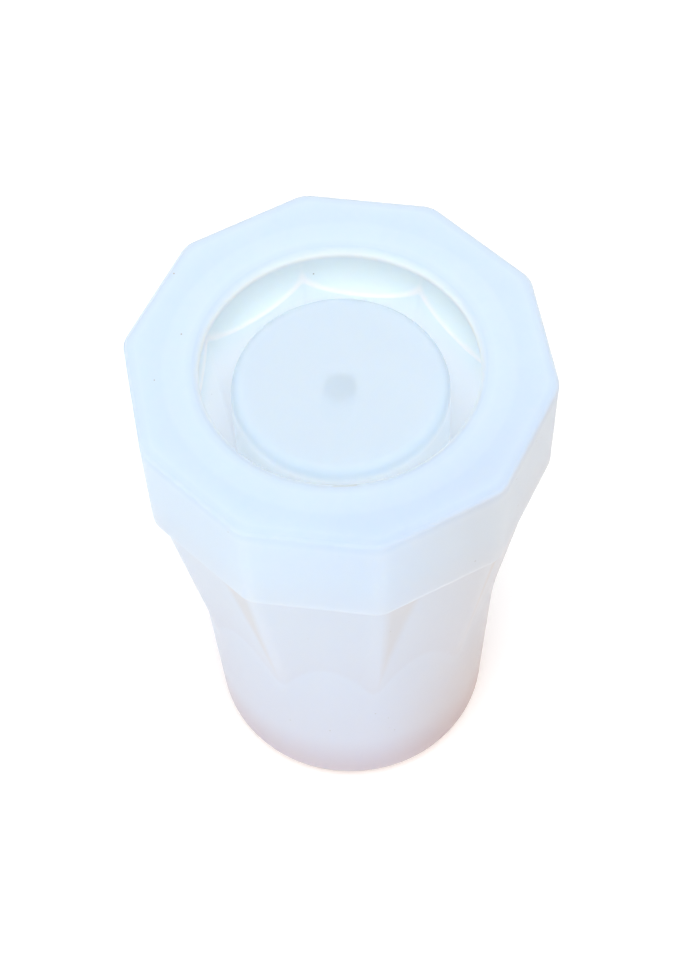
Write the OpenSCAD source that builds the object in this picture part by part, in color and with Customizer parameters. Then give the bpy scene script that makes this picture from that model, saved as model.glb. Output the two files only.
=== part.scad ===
// Flexible mold for casting a faceted candle cup upside down, with its mouth up.
// The outer mold is one thick flexible piece. A loose round core stands in the
// middle and shapes the inside of the cup, and a stiff rod inside the core keeps
// it upright. Z is up, and the origin is the middle of the base.

/* [Outer mold] */
// Height from the base to the top face
total_h = 128; // [120:1:135]
// Number of flats around the collar and the ridged waist
outer_sides = 10; // [8:2:14]
// Radius of the collar across its corners, before they are rounded
collar_r = 45; // [44.5:0.5:50]
// Height of the collar
collar_h = 28; // [22:1:32]
// Rounding of the collar's upright corners
corner_round = 6; // [2:0.5:8]
// How much narrower the collar is at its lower edge
collar_draft = 0.5; // [0:0.1:1]
// Width of the bevel along the collar's top and bottom edges
edge_bevel = 0.8; // [0.5:0.1:1.5]
// Radius across the ridges just under the collar
ridge_top_r = 43; // [42:0.5:43.5]
// Radius across the ridges where they have run out
ridge_end_r = 33.4; // [33:0.1:33.5]
// Height above the base at which the ridges have run out
ridge_end_z = 43; // [38:1:48]
// Radius of the round lower body where it meets the ridged waist
body_r = 35.7; // [35.3:0.1:36.3]
// Radius of the round lower body at the base, before it is rounded
foot_r = 31.5; // [31.3:0.1:33]
// Rounding of the edge round the base
foot_round = 5; // [4:0.5:8]

/* [Cavity] */
// Radius of the round mouth in the top face
mouth_r = 28.8; // [28.6:0.1:30]
// Rounding of the lip round the mouth
lip_round = 1.6; // [0.5:0.1:2.4]
// Radius of the round part of the cavity, below the facets
cup_r = 28; // [27.6:0.1:28.2]
// Thickness of the floor under the cavity
floor_t = 9; // [8.5:0.5:12]
// Rounding where the cavity's wall meets its floor
cup_edge_round = 1.5; // [0.5:0.5:2]
// Number of facets round the cavity
cavity_sides = 8; // [6:2:12]
// Radius across the facets' corners, level with the middle of the bead
facet_r = 33.4; // [32.5:0.1:33.6]
// Radius across the facets' corners where they have run out
facet_end_r = 27.4; // [27:0.1:27.5]
// Height above the base at which the facets have run out
facet_end_z = 68; // [60:1:76]
// Rounding of the corners between the facets
facet_round = 1.5; // [0.5:0.5:2]
// Height of the middle of the bead below the top face
bead_depth = 10.25; // [9.5:0.25:12]
// Radius of the bead's rounding
bead_round = 8.5; // [8:0.1:9]

/* [Core] */
// Radius of the core
core_r = 22.7; // [20:0.1:23]
// Depth of the core's top below the top face
core_depth = 7; // [5:0.5:9]
// Rounding of the core's top edge
core_round = 2.7; // [1:0.1:4]
// Depth of the seat in the floor that the core stands in
seat_depth = 3; // [2:0.5:4]

/* [Rod] */
// Radius of the stiff rod inside the core
rod_r = 4; // [3:0.1:6]
// Thickness of the core over the end of the rod
rod_skin = 1.6; // [1:0.1:4]
// Thickness of the floor left under the rod's socket
socket_floor = 2; // [1.5:0.5:3]
// Bevel on the ends of the rod
rod_bevel = 0.6; // [0.3:0.1:1]
// Gap all round the rod and round the core's foot
slide_gap = 0.06; // [0.04:0.01:0.1]

/* [Hidden] */
$fn = 96;
overcut = 1;
corner_steps = 5;
round_steps = 6;
collar_z = total_h - collar_h;
core_top_z = total_h - core_depth;
seat_z = floor_t - seat_depth;
rod_top_z = core_top_z - rod_skin;
bead_z = total_h - bead_depth;
// The bead's rounding is struck from a circle just inside the cavity's wall
bead_centre_r = facet_r - bead_round + 0.4;
// Height at which the round lower body ends, hidden inside the ridged waist
body_top_z = ridge_end_z + (collar_z - ridge_end_z) * 0.75;
silicone = [0.86, 0.92, 0.97, 0.8];
core_silicone = [0.80, 0.88, 0.93];
rod_colour = [0.62, 0.72, 0.80];

// Points along an arc in a plane, from angle a0 to angle a1
function arc(x, y, r, a0, a1, steps) =
    [for (i = [0:steps]) let (a = a0 + (a1 - a0) * i / steps) [x + r * cos(a), y + r * sin(a)]];

// One level outline of a prism with rounded corners; the first corner lies at angle turn
function ring(sides, r, corner, z, turn) =
    let (c = r - corner / cos(180 / sides))
    [for (k = [0:sides - 1], i = [0:corner_steps])
        let (mid = turn + 360 * k / sides, a = mid + (i / corner_steps - 0.5) * 360 / sides)
        [c * cos(mid) + corner * cos(a), c * sin(mid) + corner * sin(a), z]];

// Solid between level outlines that all have m points, given from the lowest to the highest
module loft(rings) {
    m = len(rings[0]);
    top = (len(rings) - 1) * m;
    sides = [for (j = [0:len(rings) - 2], i = [0:m - 1])
        let (a = j * m + i, b = j * m + (i + 1) % m)
        [a, a + m, b + m, b]];
    caps = [[for (i = [0:m - 1]) i], [for (i = [m - 1:-1:0]) top + i]];
    polyhedron(points = [for (r = rings, p = r) p], faces = concat(caps, sides));
}

// Ten-sided collar with bevelled edges, and the ridged waist that narrows below it
module collar_and_waist() {
    low_r = collar_r - collar_draft;
    loft([
        ring(outer_sides, ridge_end_r, corner_round, ridge_end_z, 0),
        ring(outer_sides, ridge_top_r, corner_round, collar_z, 0),
        ring(outer_sides, low_r, corner_round, collar_z + edge_bevel, 0),
        ring(outer_sides, collar_r, corner_round, total_h - edge_bevel, 0),
        ring(outer_sides, collar_r - edge_bevel, corner_round, total_h, 0)
    ]);
}

// Round lower body, narrowing slightly towards a rounded base edge
module lower_body() {
    rotate_extrude()
        polygon(concat(
            [[0, 0]],
            arc(foot_r - foot_round, foot_round, foot_round, -90, 0, round_steps),
            [[body_r, body_top_z], [0, body_top_z]]
        ));
}

// Round part of the cavity: cup wall, bead below the lip, mouth and rounded lip
module round_cavity() {
    start = -acos((cup_r - bead_centre_r) / bead_round);
    end = acos((mouth_r - bead_centre_r) / bead_round);
    rotate_extrude()
        polygon(concat(
            [[0, floor_t]],
            arc(cup_r - cup_edge_round, floor_t + cup_edge_round, cup_edge_round, -90, 0, round_steps),
            arc(bead_centre_r, bead_z, bead_round, start, end, 2 * round_steps),
            arc(mouth_r + lip_round, total_h - lip_round, lip_round, 180, 90, round_steps),
            [[mouth_r + lip_round, total_h + overcut], [0, total_h + overcut]]
        ));
}

// Flat facets that run down from the bead and fade into the round wall
module facets() {
    turn = 180 / cavity_sides;
    loft([
        ring(cavity_sides, facet_end_r, facet_round, facet_end_z, turn),
        ring(cavity_sides, facet_r, facet_round, bead_z, turn)
    ]);
}

// Flexible outer mold
module mold_body() {
    color(silicone)
    difference() {
        union() {
            collar_and_waist();
            lower_body();
        }
        round_cavity();
        facets();
        translate([0, 0, seat_z]) cylinder(h = seat_depth + overcut, r = core_r + slide_gap);
        translate([0, 0, socket_floor]) cylinder(h = floor_t, r = rod_r + slide_gap);
    }
}

// Flexible round core with a blind bore for the rod, open at its foot
module core_plug() {
    color(core_silicone)
    difference() {
        rotate_extrude()
            polygon(concat(
                [[0, seat_z], [core_r, seat_z]],
                arc(core_r - core_round, core_top_z - core_round, core_round, 0, 90, round_steps),
                [[0, core_top_z]]
            ));
        translate([0, 0, seat_z - overcut])
            cylinder(h = rod_top_z - seat_z + overcut, r = rod_r + slide_gap);
    }
}

// Stiff rod that stands in the floor's socket and carries the core
module core_rod() {
    color(rod_colour)
    rotate_extrude()
        polygon([
            [0, socket_floor],
            [rod_r - rod_bevel, socket_floor],
            [rod_r, socket_floor + rod_bevel],
            [rod_r, rod_top_z - rod_bevel],
            [rod_r - rod_bevel, rod_top_z],
            [0, rod_top_z]
        ]);
}

mold_body();
core_plug();
core_rod();
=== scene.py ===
"""Looks for the candle mold: a thick milky silicone body with a loose core on a stiff rod."""
import math

import bpy
import numpy as np
from mathutils import Matrix, Vector


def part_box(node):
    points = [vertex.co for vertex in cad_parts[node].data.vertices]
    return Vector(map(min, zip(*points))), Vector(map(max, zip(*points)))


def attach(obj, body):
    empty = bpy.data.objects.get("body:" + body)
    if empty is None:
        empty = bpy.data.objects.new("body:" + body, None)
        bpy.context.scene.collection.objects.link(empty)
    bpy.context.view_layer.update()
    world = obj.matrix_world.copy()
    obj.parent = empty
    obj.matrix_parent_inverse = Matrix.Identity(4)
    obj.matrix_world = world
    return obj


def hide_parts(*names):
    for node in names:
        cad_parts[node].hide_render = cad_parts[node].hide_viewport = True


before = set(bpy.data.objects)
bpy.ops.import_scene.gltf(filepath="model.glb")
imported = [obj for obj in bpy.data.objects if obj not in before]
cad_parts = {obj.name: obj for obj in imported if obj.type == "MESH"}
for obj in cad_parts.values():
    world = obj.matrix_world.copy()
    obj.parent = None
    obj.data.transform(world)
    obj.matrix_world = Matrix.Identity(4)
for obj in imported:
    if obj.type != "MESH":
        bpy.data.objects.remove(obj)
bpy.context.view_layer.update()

MM = 0.001


# ---------------------------------------------------------------- sizes, in mm

# Read from the frame
body_low, body_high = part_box("mold_body")
core_low, core_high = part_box("core_plug")
rod_low, rod_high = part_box("core_rod")

TOTAL_H = body_high.z / MM
CORE_R = core_high.x / MM
CORE_TOP = core_high.z / MM
SEAT_Z = core_low.z / MM
ROD_R = rod_high.x / MM
ROD_TOP = rod_high.z / MM
SOCKET_Z = rod_low.z / MM

# As on the CAD model, where the frame doesn't give them
OUTER_SIDES = 10
CAVITY_SIDES = 8
CORNER_ROUND = 6.0
# The rounded corner takes a little off the collar's reach along X
COLLAR_R = body_high.x / MM + CORNER_ROUND * (1 / math.cos(math.pi / OUTER_SIDES) - 1)
COLLAR_H = 28.0
COLLAR_LOW_R = COLLAR_R - 0.5
COLLAR_Z = TOTAL_H - COLLAR_H
RIDGE_TOP_R = 43.0
RIDGE_END_R = 33.4
RIDGE_END_Z = 43.0
BODY_R = 35.7
BODY_TOP_Z = RIDGE_END_Z + (COLLAR_Z - RIDGE_END_Z) * 0.75
FOOT_R = 31.5
FOOT_ROUND = 5.0
MOUTH_R = 28.8
LIP_ROUND = 1.6
CUP_R = 28.0
FLOOR_Z = 9.0
CUP_EDGE = 1.5
FACET_R = 33.4
FACET_END_R = 27.4
FACET_END_Z = 68.0
FACET_ROUND = 1.5
BEAD_Z = TOTAL_H - 10.25
BEAD_ROUND = 8.5
BEAD_CENTRE_R = FACET_R - BEAD_ROUND + 0.4
CORE_ROUND = 2.7
SLIDE_GAP = 0.06
ROD_BEVEL = 0.6

# Finer shape that only the visual model has
COLLAR_EDGE = 1.0  # rounding of the collar's top and bottom edges
SEAT_EDGE = 0.3  # rounding in the core's seat and the rod's socket
CORE_EDGE = 0.4  # rounding of the core's foot and bore
RIDGE_BLEND = 0.7  # width over which the ridges run into the round body
FACET_BLEND = 0.5  # width over which the facets run into the round wall

# Where the marks for the material lie
RIDGE_SHADE_WIDTH = 7.0  # painted shade in a strip beside each ridge, in degrees at the collar
CREASE_HIGHLIGHT_WIDTH = 0.5  # painted highlight along the crease between the bead and the facets
LIP_SHARE = 0.9  # strength of the painted edge shade on the lip, beside 1 on the collar
FLASH_ANGLE = -80.0  # where the flash on the lip is, in degrees
FLASH_REACH = 5.0  # half its length, in degrees


# ---------------------------------------------------------------- looks

# Colours, and tints that multiply them; beside the silicone's own colours, the flash, the specks and the
# rod, they paint light and shade
TOP_COLOUR = (0.68, 0.80, 0.93)
FOOT_SHADE_COLOUR = (0.635, 0.675, 0.775)
BASE_SHADE_COLOUR = (0.59, 0.545, 0.615)
RIM_REFLECTION_COLOUR = (0.62, 0.47, 0.37)
COLLAR_SHADE_TINT = (0.975, 0.985, 0.99)
EDGE_SHADE_TINT = (0.85, 0.885, 0.94)
LEDGE_SHADE_TINT = (1.0, 0.965, 0.95)
FLAT_SHADE_TINT = (0.98, 0.96, 0.955)
RIDGE_SHADE_TINT = (0.99, 0.92, 0.86)
SHADED_SIDE_TINT = (0.97, 0.88, 0.80)
LOW_SHADED_SIDE_TINT = (0.97, 0.90, 0.84)
FRONT_SHADE_TINT = (0.965, 0.96, 0.975)
GAP_LIGHT_COLOUR = (0.872, 0.884, 0.896)
BEAD_LIGHT_COLOUR = (0.85, 0.93, 0.98)
LIP_LIGHT_COLOUR = (0.90, 0.965, 0.99)
CREASE_HIGHLIGHT_COLOUR = (1.0, 1.0, 1.0)
FLASH_COLOUR = (0.60, 0.66, 0.68)
SPECK_COLOUR = (0.48, 0.47, 0.46)
CORE_TOP_COLOUR = (0.688, 0.79, 0.885)
CORE_FOOT_SHADE_COLOUR = (0.82, 0.845, 0.88)
SHOULDER_SHADE_TINT = (0.97, 0.965, 0.955)
ROD_SHADE_TINT = (0.984, 0.991, 0.994)
ROD_COLOUR = (0.88, 0.92, 0.97)

# Faint light from the gap's deep walls, in place of what real silicone lets through
GLOW_COLOUR = (0.94, 0.965, 0.985)
GAP_GLOW = 0.083

# Silicone: scattering in mm and alpha are pairs, outside and on the faces in the gap
SILICONE_IOR = 1.41
SCATTER_BY_COLOUR = (1.0, 0.9, 0.8)
SCATTER_FORWARD = 0.3
SKIN_GRAIN = 420.0
SKIN_SHINE = 0.05
ROUGH_SPREAD = (-0.06, 0.08)
MOLD_ROUGH = 0.34
MOLD_SCATTER = (6.0, 1.5)
MOLD_ALPHA = (0.9, 1.0)
CORE_ROUGH = 0.42
CORE_SCATTER = (2.0, 2.0)
CORE_ALPHA = (0.85, 1.0)
SPECK_SCALE = 170.0
SPECK_RADIUS = 0.04
PLASTIC_GRAIN = 600.0
PLASTIC_ROUGH = 0.45

# The heights, in mm, at which a mask is 0 and is 1
FOOT_SHADE_SPAN = (0.0, 110.0)  # painted shade, from the darker foot's colour to the top's
BASE_SHADE_SPAN = (2.0, 24.0)  # painted shade at the base, from the base's colour to the one above
RIM_REFLECTION_SPAN = (4.5, 0.0)  # painted warm reflected light round the base
COLLAR_SHADE_SPAN = (TOTAL_H - 0.4, TOTAL_H - 1.4)  # painted shade on everything below the top face
LEDGE_SHADE_SPAN = (COLLAR_Z + 16, COLLAR_Z + 1)  # painted warm shade on the collar's lower part, and all below it
BELOW_TOP_SPAN = (TOTAL_H, TOTAL_H - 0.8)  # the sides
LOW_SHADED_SIDE_SPAN = (60.0, 10.0)  # the lower part of the side with painted warm shade
CAVITY_TOP_SPAN = (TOTAL_H + 0.2, TOTAL_H - 1.0)  # the cavity, from the lip down
CAVITY_FLOOR_SPAN = (SEAT_Z - 0.5, SEAT_Z)  # the cavity, from the core's seat up
DEPTH_SPAN = (TOTAL_H - 13.5, COLLAR_Z + 1)  # the cavity's deep walls, painted paler and glowing in place of light through the silicone
BEAD_SPAN = (TOTAL_H - 9, TOTAL_H - 3.5)  # from the bead's painted light to the lip's, lighter still against the shade under the lip
SHOULDER_SPAN = (CORE_TOP - 0.2, CORE_TOP - 1.2)  # painted shade on the core's rounded shoulder
CORE_SIDE_SPAN = (CORE_TOP - 0.9, CORE_TOP - 3.0)  # the core's side, painted paler against the shade in the gap
CORE_WALL_SPAN = (45.0, 85.0)  # from the core's foot, painted darker as shade, to the gap's painted light

# The same across the mold: distances from the axis, along X, and towards the front right
RIM_REFLECTION_REACH = (26.2, 28.5)
SHADED_SIDE_REACH = (8.0, 36.0)
FRONT_SHADE_REACH = (30.0, 56.0)
CAVITY_REACH = (30.5, 29.0)
CAVITY_SLOPE = 0.05  # how much the cavity's mask widens for each mm of height

# Painted shade where the rod shows through the core's top, along this stretch of Y, and this far from it
ROD_SHOWS = (-6.7, -1.7)
ROD_SHOWS_REACH = (3.7, 3.1)

# Floor and light
FLOOR_WIDTH = 6.0  # in metres
FLOOR_COLOUR = (0.95, 0.95, 0.95)
FLOOR_GLOW = 0.15
SKY_DIM = (0.75, 0.68, 0.66)
SKY_BRIGHT = (1.0, 1.0, 1.0)
SKY_FROM = (-0.35, -0.1, 0.9)
SKY_STRENGTH = 0.76
KEY_FROM = (0.05, -0.45, 1.1)
KEY_SPREAD = 45
KEY_STRENGTH = 1.47
BOUNCES = 48


# ---------------------------------------------------------------- shape helpers

def polygon_reach(angle, sides, radius, rounding, turn=0.0):
    """Distance from the axis to a regular polygon with rounded corners, along each angle."""
    half = math.pi / sides
    off = np.abs((angle - turn + half) % (2 * half) - half)
    centre = radius - rounding / math.cos(half)
    flat = radius * math.cos(half) / np.cos(half - off)
    limit = np.arctan2(rounding * math.sin(half), centre + rounding * math.cos(half))
    inside = np.minimum(off, limit)
    arc = centre * np.cos(inside) + np.sqrt(rounding ** 2 - (centre * np.sin(inside)) ** 2)
    return np.where(off < limit, arc, flat)


def soft_max(a, b, width):
    """The larger of two radii, with the crease between them filled over a width."""
    near = np.maximum(width - np.abs(a - b), 0.0) / width
    return np.maximum(a, b) + near ** 2 * width / 4


def spread(start, end, count):
    """Evenly spaced values after start, up to and including end."""
    return np.linspace(start, end, count + 1)[1:]


def column_angles():
    """Angles of the mesh columns, closer together round the collar's and the facets' corners."""
    wide_step, fine_step = 1.5, 0.5
    columns = set(round(a, 3) for a in np.arange(0, 360, wide_step))
    for sides, turn, reach in ((OUTER_SIDES, 0.0, 4.0), (CAVITY_SIDES, 180 / CAVITY_SIDES, 3.0)):
        for k in range(sides):
            middle = turn + 360 * k / sides
            close = np.arange(-reach, reach + 0.1, fine_step)
            columns |= set(round((middle + d) % 360, 3) for d in close)
    return np.radians(sorted(columns))


def revolve(name, rows, angles):
    """A closed mesh from rows of (radii, height), with a single point at each end of the rows."""
    count = len(angles)
    unit = np.stack([np.cos(angles), np.sin(angles)], axis=1)
    points = [[0.0, 0.0, rows[0][1]]]
    for radii, z in rows[1:-1]:
        ring = unit * np.broadcast_to(radii, (count,))[:, None]
        points += [[x, y, z] for x, y in ring]
    points.append([0.0, 0.0, rows[-1][1]])
    faces = []
    for i in range(count):
        j = (i + 1) % count
        faces.append((0, 1 + j, 1 + i))
        for r in range(len(rows) - 3):
            low, high = 1 + r * count, 1 + (r + 1) * count
            faces.append((low + i, low + j, high + j, high + i))
        last = 1 + (len(rows) - 3) * count
        faces.append((last + i, last + j, len(points) - 1))
    mesh = bpy.data.meshes.new(name)
    mesh.from_pydata([[c * MM for c in p] for p in points], [], faces)
    mesh.update()
    for polygon in mesh.polygons:
        polygon.use_smooth = True
    piece = bpy.data.objects.new(name, mesh)
    bpy.context.scene.collection.objects.link(piece)
    return piece


# ---------------------------------------------------------------- outer mold

def ridge_reach(angles, z):
    """Radius of the ridged waist at a height, along each angle."""
    share = (z - RIDGE_END_Z) / (COLLAR_Z - RIDGE_END_Z)
    radius = RIDGE_END_R + (RIDGE_TOP_R - RIDGE_END_R) * share
    return polygon_reach(angles, OUTER_SIDES, radius, CORNER_ROUND)


def body_reach(z):
    """Radius of the round lower body at a height."""
    return FOOT_R + (BODY_R - FOOT_R) * (z - FOOT_ROUND) / (BODY_TOP_Z - FOOT_ROUND)


def waist_reach(angles, z):
    """Radius of the outside below the collar."""
    return soft_max(ridge_reach(angles, z), body_reach(z), RIDGE_BLEND)


def facet_reach(angles, z):
    """Radius of the cavity's facets at a height, along each angle."""
    share = (z - FACET_END_Z) / (BEAD_Z - FACET_END_Z)
    radius = FACET_END_R + (FACET_R - FACET_END_R) * share
    return polygon_reach(angles, CAVITY_SIDES, radius, FACET_ROUND, math.pi / CAVITY_SIDES)


def round_cavity_reach(z):
    """Radius of the cavity's round wall and bead at a height."""
    below = np.clip(BEAD_Z - z, -BEAD_ROUND, BEAD_ROUND)
    return np.maximum(CUP_R, BEAD_CENTRE_R + np.sqrt(BEAD_ROUND ** 2 - below ** 2))


def mold_rows(angles):
    """Outline of the mold from the middle of the base, up the outside, over the lip and down the cavity."""
    rows = [(0.0, 0.0)]
    # Flat of the base, its rounded edge, and the round lower body
    foot_flat = FOOT_R - FOOT_ROUND
    rows += [(r, 0.0) for r in spread(0, foot_flat, 6)]
    rows += [(foot_flat + FOOT_ROUND * math.sin(a), FOOT_ROUND * (1 - math.cos(a)))
             for a in spread(0, math.pi / 2, 12)]
    rows += [(waist_reach(angles, z), z) for z in spread(FOOT_ROUND, RIDGE_END_Z, 14)]
    ledge_z = COLLAR_Z - 30
    rows += [(waist_reach(angles, z), z) for z in spread(RIDGE_END_Z, ledge_z, 24)]
    rows += [(waist_reach(angles, z), z) for z in spread(ledge_z, COLLAR_Z, 12)]
    # Collar: rounded lower edge, slightly leaning wall, rounded top edge
    low = polygon_reach(angles, OUTER_SIDES, COLLAR_LOW_R, CORNER_ROUND)
    high = polygon_reach(angles, OUTER_SIDES, COLLAR_R, CORNER_ROUND)
    rows += [(low - COLLAR_EDGE * (1 - math.sin(a)), COLLAR_Z + COLLAR_EDGE * (1 - math.cos(a)))
             for a in spread(0, math.pi / 2, 6)]
    wall_low, wall_high = COLLAR_Z + COLLAR_EDGE, TOTAL_H - COLLAR_EDGE
    rows += [(low + (high - low) * (z - wall_low) / (wall_high - wall_low), z)
             for z in spread(wall_low, wall_high, 10)]
    rows += [(high - COLLAR_EDGE * (1 - math.cos(a)), wall_high + COLLAR_EDGE * math.sin(a))
             for a in spread(0, math.pi / 2, 7)]
    # Top face and rounded lip
    face, rim = high - COLLAR_EDGE, MOUTH_R + LIP_ROUND
    rows += [(face + (rim - face) * u, TOTAL_H) for u in spread(0, 1, 9)]
    rows += [(rim - LIP_ROUND * math.sin(a), TOTAL_H - LIP_ROUND * (1 - math.cos(a)))
             for a in spread(0, math.pi / 2, 6)]
    # Bead under the lip, then the facets, which fade into the round wall
    start = math.acos((MOUTH_R - BEAD_CENTRE_R) / BEAD_ROUND)
    rows += [(BEAD_CENTRE_R + BEAD_ROUND * math.cos(a), BEAD_Z + BEAD_ROUND * math.sin(a))
             for a in np.linspace(start, 0, 10)]
    arches_z = BEAD_Z - 9
    for z in np.concatenate([spread(BEAD_Z, arches_z, 36), spread(arches_z, FACET_END_Z, 22)]):
        rows.append((soft_max(facet_reach(angles, z), round_cavity_reach(z), FACET_BLEND), z))
    rows += [(CUP_R, z) for z in spread(FACET_END_Z, FLOOR_Z + CUP_EDGE, 10)]
    rows += [(CUP_R - CUP_EDGE * (1 - math.cos(a)), FLOOR_Z + CUP_EDGE * (1 - math.sin(a)))
             for a in spread(0, math.pi / 2, 4)]
    # Floor, the core's seat and the rod's socket
    edge, part = SEAT_EDGE, SEAT_EDGE * 0.3
    for radius, top, floor in ((CORE_R + SLIDE_GAP, FLOOR_Z, SEAT_Z),
                               (ROD_R + SLIDE_GAP, SEAT_Z, SOCKET_Z)):
        rows += [(radius + edge, top), (radius + part, top - part), (radius, top - edge)]
        rows += [(radius, floor + edge), (radius - part, floor + part), (radius - edge, floor)]
    rows.append((0.0, SOCKET_Z))
    return rows


def mark(piece, name, values):
    """Stores one number per vertex under a name, for the material to read."""
    layer = piece.data.attributes.new(name, "FLOAT", "POINT")
    layer.data.foreach_set("value", np.asarray(values, dtype=np.float32))


def make_mold():
    """The outer mold, with the marks that its material reads."""
    angles = column_angles()
    piece = revolve("mold_silicone", mold_rows(angles), angles)
    at = np.array([v.co[:] for v in piece.data.vertices]) / MM
    angle, z = np.arctan2(at[:, 1], at[:, 0]), at[:, 2]
    reach = np.hypot(at[:, 0], at[:, 1])
    # How far each point of the waist stands on a flat of the ridges and not on the round body; shade is
    # painted on the flats
    waist = (z > RIDGE_END_Z) & (z < COLLAR_Z + 0.01) & (reach > BODY_R - 3)
    mark(piece, "flat", waist * np.clip((ridge_reach(angle, z) - body_reach(z)) / 0.15, 0, 1))
    # Painted shade in a strip beside each ridge, on the side away from the front, narrower towards its foot
    side = 360 / OUTER_SIDES
    from_front = np.abs((np.degrees(angle) + 90 + 180) % 360 - 180)
    past = (from_front - side / 2) % side
    wide = RIDGE_SHADE_WIDTH * (z - RIDGE_END_Z - 4) / (COLLAR_Z - RIDGE_END_Z)
    mark(piece, "ridge_shade", waist * np.clip((wide - np.abs(past - wide - 1)) / 3, 0, 1))
    # The rounded edges of the top face, outside and round the mouth, where shade is painted to dull their
    # highlight
    face = polygon_reach(angle, OUTER_SIDES, COLLAR_R - COLLAR_EDGE - 0.3, CORNER_ROUND)
    rim = np.clip((reach - face) / 0.4, 0, 1)
    lip = np.clip((MOUTH_R + LIP_ROUND + 0.4 - reach) / 0.8, 0, 1)
    near_top = np.clip((z - TOTAL_H + COLLAR_EDGE + 0.3) / 0.4, 0, 1)
    mark(piece, "edge", np.maximum(rim, lip * LIP_SHARE) * near_top)
    # A little flash left on the lip
    on_lip = (z > TOTAL_H - 1.2) & (z < TOTAL_H - 0.1) & (reach < MOUTH_R + 1.2)
    away = np.abs(np.degrees(angle) - FLASH_ANGLE)
    mark(piece, "flash", on_lip * np.clip(FLASH_REACH - away, 0, 1))
    # The crease where the bead meets the facets, where a highlight is painted
    hollow = (z > COLLAR_Z) & (z < BEAD_Z) & (reach < FACET_R + 1)
    gap = np.abs(facet_reach(angle, z) - round_cavity_reach(z))
    mark(piece, "crease", hollow * np.clip(1.3 - gap / CREASE_HIGHLIGHT_WIDTH, 0, 1))
    return piece


# ---------------------------------------------------------------- core and rod

def core_rows():
    """Outline of the core from the top of its bore, down the bore, round the foot and up the side."""
    edge, bore, flat = CORE_EDGE, ROD_R + SLIDE_GAP, CORE_R - CORE_ROUND
    rows = [(0.0, ROD_TOP)]
    rows += [(bore * 0.5, ROD_TOP), (bore - edge, ROD_TOP), (bore, ROD_TOP - edge)]
    rows += [(bore, z) for z in spread(ROD_TOP - edge, SEAT_Z + edge, 16)]
    rows += [(bore + edge, SEAT_Z), (CORE_R - edge, SEAT_Z), (CORE_R, SEAT_Z + edge)]
    rows += [(CORE_R, z) for z in spread(SEAT_Z + edge, CORE_TOP - CORE_ROUND, 16)]
    rows += [(flat + CORE_ROUND * math.cos(a), CORE_TOP - CORE_ROUND * (1 - math.sin(a)))
             for a in spread(0, math.pi / 2, 8)]
    rows += [(r, CORE_TOP) for r in spread(flat, 1.0, 12)]
    rows.append((0.0, CORE_TOP))
    return rows


def make_core():
    return revolve("core_silicone", core_rows(), np.radians(np.arange(0, 360, 3)))


def make_rod():
    bevel = ROD_BEVEL
    rows = [(0.0, SOCKET_Z), (ROD_R * 0.5, SOCKET_Z)]
    rows += [(ROD_R - bevel + bevel * math.sin(a), SOCKET_Z + bevel * (1 - math.cos(a)))
             for a in np.linspace(0, math.pi / 2, 5)]
    rows += [(ROD_R, z) for z in spread(SOCKET_Z + bevel, ROD_TOP - bevel, 12)]
    rows += [(ROD_R - bevel + bevel * math.cos(a), ROD_TOP - bevel + bevel * math.sin(a))
             for a in spread(0, math.pi / 2, 4)]
    rows += [(ROD_R * 0.5, ROD_TOP), (0.0, ROD_TOP)]
    return revolve("stiffening_rod", rows, np.radians(np.arange(0, 360, 6)))


# ---------------------------------------------------------------- materials

def shader(name):
    """A new material, its node tree and its Principled node."""
    material = bpy.data.materials.new(name)
    material.use_nodes = True
    tree = material.node_tree
    return material, tree, tree.nodes["Principled BSDF"]


def node(tree, kind, **values):
    """A new node with its properties and inputs set by name."""
    made = tree.nodes.new(kind)
    for key, value in values.items():
        if hasattr(made, key):
            setattr(made, key, value)
        else:
            made.inputs[key.replace("_", " ")].default_value = value
    return made


def smooth_step(tree, source, none, full):
    """0 up to the first value and 1 from the second on, eased in between; either may be the larger."""
    ramp = node(tree, "ShaderNodeMapRange", interpolation_type="SMOOTHSTEP")
    ramp.inputs["From Min"].default_value = none
    ramp.inputs["From Max"].default_value = full
    tree.links.new(source, ramp.inputs["Value"])
    return ramp.outputs["Result"]


def span(tree, source, ends):
    """smooth_step between two places given in mm."""
    return smooth_step(tree, source, ends[0] * MM, ends[1] * MM)


def times(tree, first, second):
    """The product of two masks."""
    made = node(tree, "ShaderNodeMath", operation="MULTIPLY")
    tree.links.new(first, made.inputs[0])
    tree.links.new(second, made.inputs[1])
    return made.outputs["Value"]


def blend(tree, factor, first, second, kind="MIX"):
    """A colour mix; each side is a colour or the output of another node."""
    mix = node(tree, "ShaderNodeMix", data_type="RGBA", blend_type=kind)
    for slot, value in ((6, first), (7, second)):
        if isinstance(value, tuple):
            mix.inputs[slot].default_value = (*value, 1)
        else:
            tree.links.new(value, mix.inputs[slot])
    tree.links.new(factor, mix.inputs["Factor"])
    return mix.outputs[2]


def read_mark(tree, name):
    """The number that mark stored under a name."""
    return node(tree, "ShaderNodeAttribute", attribute_name=name).outputs["Fac"]


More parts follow.
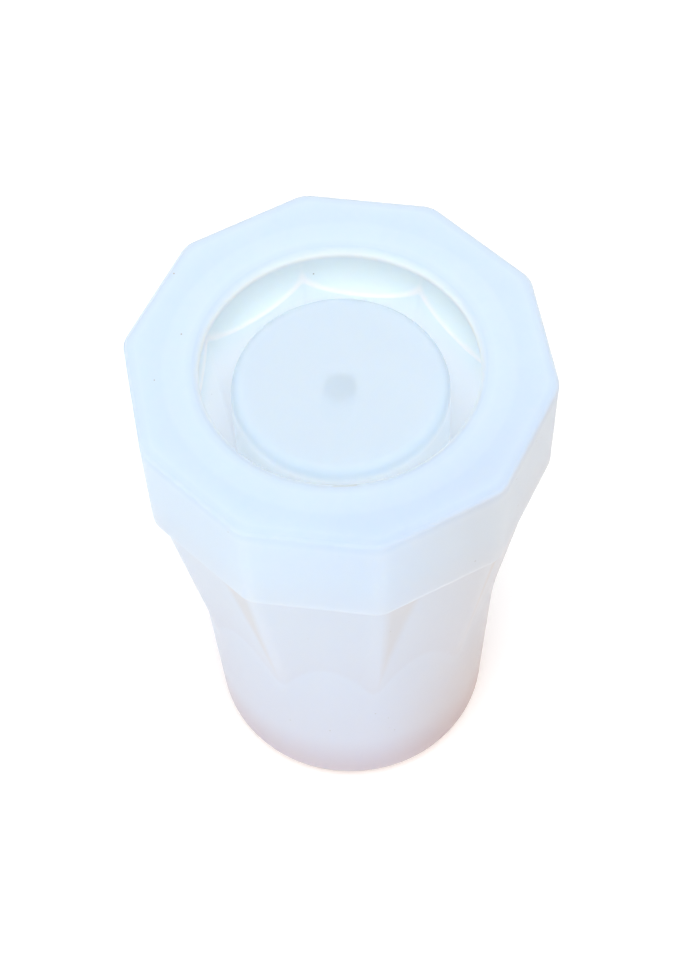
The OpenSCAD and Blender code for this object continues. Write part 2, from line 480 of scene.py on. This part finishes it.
def silicone(name, paint, rough, scatter, alpha):
    """Milky silicone, which scatters light inside it.

    paint gives its colour, a mask of the faces in the gap and a mask of the deep ones among them.
    scatter, in mm, and alpha are pairs: outside, and on the faces in the gap.
    """
    material, tree, principled = shader(name)
    link = tree.links.new
    place = node(tree, "ShaderNodeTexCoord").outputs["Object"]
    axes = node(tree, "ShaderNodeSeparateXYZ")
    link(place, axes.inputs[0])
    flat = node(tree, "ShaderNodeVectorMath", operation="MULTIPLY")
    flat.inputs[1].default_value = (1, 1, 0)
    link(place, flat.inputs[0])
    radius = node(tree, "ShaderNodeVectorMath", operation="LENGTH")
    link(flat.outputs[0], radius.inputs[0])
    colour, hollow, deep = paint(tree, place, axes.outputs, radius.outputs["Value"])
    link(colour, principled.inputs["Base Color"])
    skin = node(tree, "ShaderNodeTexNoise", Scale=SKIN_GRAIN, Detail=4.0, Roughness=0.6)
    link(place, skin.inputs["Vector"])
    gloss = node(tree, "ShaderNodeMapRange")
    gloss.inputs["To Min"].default_value = rough + ROUGH_SPREAD[0]
    gloss.inputs["To Max"].default_value = rough + ROUGH_SPREAD[1]
    link(skin.outputs["Fac"], gloss.inputs["Value"])
    link(gloss.outputs["Result"], principled.inputs["Roughness"])
    for socket, mask, outside, within in (
            ("Specular IOR Level", hollow, SKIN_SHINE, 0.0),
            ("Subsurface Scale", hollow, scatter[0] * MM, scatter[1] * MM),
            ("Alpha", hollow, *alpha),
            ("Emission Strength", deep, 0.0, GAP_GLOW)):
        change = node(tree, "ShaderNodeMapRange")
        change.inputs["To Min"].default_value = outside
        change.inputs["To Max"].default_value = within
        link(mask, change.inputs["Value"])
        link(change.outputs["Result"], principled.inputs[socket])
    principled.inputs["Emission Color"].default_value = (*GLOW_COLOUR, 1)
    principled.subsurface_method = "RANDOM_WALK"
    principled.inputs["Subsurface Weight"].default_value = 1.0
    principled.inputs["Subsurface Radius"].default_value = SCATTER_BY_COLOUR
    principled.inputs["Subsurface Anisotropy"].default_value = SCATTER_FORWARD
    principled.inputs["IOR"].default_value = SILICONE_IOR
    return material


def specks(tree, place):
    """1 in a few tiny specks of dust, 0 everywhere else."""
    cells = node(tree, "ShaderNodeTexVoronoi", Scale=SPECK_SCALE)
    tree.links.new(place, cells.inputs["Vector"])
    return smooth_step(tree, cells.outputs["Distance"], SPECK_RADIUS, SPECK_RADIUS * 0.6)


def mold_paint(tree, place, axes, radius):
    """Painted shade: darker and warmer at the foot and one side, on collar, ridges, front and edges;
    painted reflection, cavity light and crease highlight.
    """
    height = axes["Z"]
    # Painted shade: darker and warmer towards the foot
    colour = blend(tree, span(tree, height, FOOT_SHADE_SPAN), FOOT_SHADE_COLOUR, TOP_COLOUR)
    # Painted shade at the base, darker near the floor
    colour = blend(tree, span(tree, height, BASE_SHADE_SPAN), BASE_SHADE_COLOUR, colour)
    # Painted warm reflected light round the edge of the base
    rim = times(tree, span(tree, height, RIM_REFLECTION_SPAN), span(tree, radius, RIM_REFLECTION_REACH))
    colour = blend(tree, rim, colour, RIM_REFLECTION_COLOUR)
    # Painted shade on everything below the top face
    colour = blend(tree, span(tree, height, COLLAR_SHADE_SPAN), colour, COLLAR_SHADE_TINT, "MULTIPLY")
    # Painted warm shade on the collar's lower part and below
    colour = blend(tree, span(tree, height, LEDGE_SHADE_SPAN), colour, LEDGE_SHADE_TINT, "MULTIPLY")
    # Painted shade on the flats of the ridges
    colour = blend(tree, read_mark(tree, "flat"), colour, FLAT_SHADE_TINT, "MULTIPLY")
    # Painted shade on the side of each ridge away from the front
    colour = blend(tree, read_mark(tree, "ridge_shade"), colour, RIDGE_SHADE_TINT, "MULTIPLY")
    # Painted warm shade on the side away from the light, stronger low down
    below_top = span(tree, height, BELOW_TOP_SPAN)
    shaded_side = times(tree, span(tree, axes["X"], SHADED_SIDE_REACH), below_top)
    colour = blend(tree, shaded_side, colour, SHADED_SIDE_TINT, "MULTIPLY")
    low = times(tree, shaded_side, span(tree, height, LOW_SHADED_SIDE_SPAN))
    colour = blend(tree, low, colour, LOW_SHADED_SIDE_TINT, "MULTIPLY")
    # Painted shade towards the front right
    across = node(tree, "ShaderNodeMath", operation="SUBTRACT")
    tree.links.new(axes["X"], across.inputs[0])
    tree.links.new(axes["Y"], across.inputs[1])
    front = span(tree, across.outputs["Value"], FRONT_SHADE_REACH)
    colour = blend(tree, front, colour, FRONT_SHADE_TINT, "MULTIPLY")
    lean = node(tree, "ShaderNodeMath", operation="MULTIPLY_ADD")
    tree.links.new(height, lean.inputs[0])
    lean.inputs[1].default_value = -CAVITY_SLOPE
    tree.links.new(radius, lean.inputs[2])
    within = span(tree, lean.outputs["Value"], CAVITY_REACH)
    between = times(tree, within, span(tree, height, CAVITY_TOP_SPAN))
    hollow = times(tree, between, span(tree, height, CAVITY_FLOOR_SPAN))
    depth = span(tree, height, DEPTH_SPAN)
    # Painted light in the cavity: paler bead, lighter still under the lip, pale grey on the deep walls
    wall = blend(tree, span(tree, height, BEAD_SPAN), BEAD_LIGHT_COLOUR, LIP_LIGHT_COLOUR)
    colour = blend(tree, hollow, colour, blend(tree, depth, wall, GAP_LIGHT_COLOUR))
    # Painted highlight along the crease between the bead and the facets
    colour = blend(tree, read_mark(tree, "crease"), colour, CREASE_HIGHLIGHT_COLOUR)
    # Painted shade on the rounded edges of the top face
    colour = blend(tree, read_mark(tree, "edge"), colour, EDGE_SHADE_TINT, "MULTIPLY")
    colour = blend(tree, read_mark(tree, "flash"), colour, FLASH_COLOUR)
    colour = blend(tree, specks(tree, place), colour, SPECK_COLOUR)
    return colour, hollow, times(tree, hollow, depth)


def core_paint(tree, place, axes, radius):
    """Like the mold: painted shade on the shoulder and where the rod shows through the top, side painted
    paler, shade at its foot; needs only the axes.
    """
    # Distance from a short line that runs back to front, which is where the rod's shade is painted
    line = node(tree, "ShaderNodeClamp", Min=ROD_SHOWS[0] * MM, Max=ROD_SHOWS[1] * MM)
    tree.links.new(axes["Y"], line.inputs["Value"])
    past = node(tree, "ShaderNodeMath", operation="SUBTRACT")
    tree.links.new(axes["Y"], past.inputs[0])
    tree.links.new(line.outputs["Result"], past.inputs[1])
    across = node(tree, "ShaderNodeCombineXYZ")
    tree.links.new(axes["X"], across.inputs["X"])
    tree.links.new(past.outputs["Value"], across.inputs["Y"])
    away = node(tree, "ShaderNodeVectorMath", operation="LENGTH")
    tree.links.new(across.outputs["Vector"], away.inputs[0])
    # Painted shade where the rod shows faintly through the top
    rod_shade = span(tree, away.outputs["Value"], ROD_SHOWS_REACH)
    colour = blend(tree, rod_shade, CORE_TOP_COLOUR, ROD_SHADE_TINT, "MULTIPLY")
    # Painted shade on the core's rounded shoulder, dulling its highlight
    shoulder_shade = span(tree, axes["Z"], SHOULDER_SPAN)
    colour = blend(tree, shoulder_shade, colour, SHOULDER_SHADE_TINT, "MULTIPLY")
    # Painted light on the core's side, paler against the shade in the gap, with painted shade towards its
    # foot
    side = span(tree, axes["Z"], CORE_SIDE_SPAN)
    wall = blend(tree, span(tree, axes["Z"], CORE_WALL_SPAN), CORE_FOOT_SHADE_COLOUR, GAP_LIGHT_COLOUR)
    return blend(tree, side, colour, wall), side, side


def moulded_plastic(name, tint):
    """Matte plastic with a fine grain."""
    material, tree, principled = shader(name)
    link = tree.links.new
    place = node(tree, "ShaderNodeTexCoord")
    grain = node(tree, "ShaderNodeTexNoise", Scale=PLASTIC_GRAIN, Detail=3.0)
    link(place.outputs["Object"], grain.inputs["Vector"])
    mix = node(tree, "ShaderNodeMix", data_type="RGBA")
    mix.inputs[6].default_value = (*tint, 1)
    mix.inputs[7].default_value = (*[c * 0.92 for c in tint], 1)
    link(grain.outputs["Fac"], mix.inputs["Factor"])
    link(mix.outputs[2], principled.inputs["Base Color"])
    bump = node(tree, "ShaderNodeBump", Strength=0.1, Distance=0.0002)
    link(grain.outputs["Fac"], bump.inputs["Height"])
    link(bump.outputs["Normal"], principled.inputs["Normal"])
    principled.inputs["Roughness"].default_value = PLASTIC_ROUGH
    return material


# ---------------------------------------------------------------- stage, light and camera

def make_camera():
    """A long lens, high in front of the mold, rolled a little."""
    place, target = Vector((0.04895, -0.28353, 0.5337)), Vector((0.00108, 0.00087, 0.083))
    data = bpy.data.cameras.new("camera")
    data.lens = 92.0
    data.sensor_width = 36.0
    data.clip_start = 0.01
    camera = bpy.data.objects.new("camera", data)
    look = (target - place).to_track_quat("-Z", "Y").to_matrix().to_4x4()
    roll = Matrix.Rotation(math.radians(-2.13), 4, "Z")
    camera.matrix_world = Matrix.Translation(place) @ look @ roll
    bpy.context.scene.collection.objects.link(camera)
    bpy.context.scene.camera = camera


def soft_sun(name, toward, spread_degrees, strength):
    """Even, soft-edged white light that comes from one direction."""
    data = bpy.data.lights.new(name, "SUN")
    data.angle = math.radians(spread_degrees)
    data.energy = strength
    lamp = bpy.data.objects.new(name, data)
    lamp.location = Vector(toward)
    lamp.rotation_euler = Vector(toward).to_track_quat("Z", "Y").to_euler()
    bpy.context.scene.collection.objects.link(lamp)


def make_stage():
    """A plain pale floor that gives off a little light, and soft studio light."""
    mesh = bpy.data.meshes.new("floor")
    half = FLOOR_WIDTH / 2
    outline = [(-half, -half, 0), (half, -half, 0), (half, half, 0), (-half, half, 0)]
    mesh.from_pydata(outline, [], [(0, 1, 2, 3)])
    floor = bpy.data.objects.new("floor", mesh)
    bpy.context.scene.collection.objects.link(floor)
    material, tree, principled = shader("pale_floor")
    principled.inputs["Base Color"].default_value = (*FLOOR_COLOUR, 1)
    principled.inputs["Roughness"].default_value = 0.8
    principled.inputs["Specular IOR Level"].default_value = 0.1
    principled.inputs["Emission Color"].default_value = (1, 1, 1, 1)
    principled.inputs["Emission Strength"].default_value = FLOOR_GLOW
    floor.data.materials.append(material)

    world = bpy.data.worlds.new("studio")
    bpy.context.scene.world = world
    world.use_nodes = True
    tree = world.node_tree
    around = node(tree, "ShaderNodeTexCoord")
    facing = node(tree, "ShaderNodeVectorMath", operation="DOT_PRODUCT")
    facing.inputs[1].default_value = Vector(SKY_FROM).normalized()
    tree.links.new(around.outputs["Generated"], facing.inputs[0])
    near = smooth_step(tree, facing.outputs["Value"], -0.7, 0.8)
    colour = blend(tree, near, SKY_DIM, SKY_BRIGHT)
    tree.links.new(colour, tree.nodes["Background"].inputs["Color"])
    tree.nodes["Background"].inputs["Strength"].default_value = SKY_STRENGTH
    soft_sun("key", KEY_FROM, KEY_SPREAD, KEY_STRENGTH)


# ---------------------------------------------------------------- the scene

make_camera()
make_stage()

mold = make_mold()
core = make_core()
rod = make_rod()
mold.data.materials.append(silicone("outer_silicone", mold_paint, MOLD_ROUGH, MOLD_SCATTER, MOLD_ALPHA))
core.data.materials.append(silicone("core_silicone", core_paint, CORE_ROUGH, CORE_SCATTER, CORE_ALPHA))
rod.data.materials.append(moulded_plastic("rod_plastic", ROD_COLOUR))

for piece, body, cad_node, slot in ((mold, "mold", "mold_body", "outer_silicone"),
                                    (core, "core", "core_plug", "core_silicone"),
                                    (rod, "rod", "core_rod", "rod_plastic")):
    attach(piece, body)
    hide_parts(cad_node)

scene = bpy.context.scene
scene.view_settings.view_transform = "Standard"
scene.cycles.max_bounces = BOUNCES
scene.cycles.diffuse_bounces = BOUNCES
scene.cycles.transmission_bounces = BOUNCES
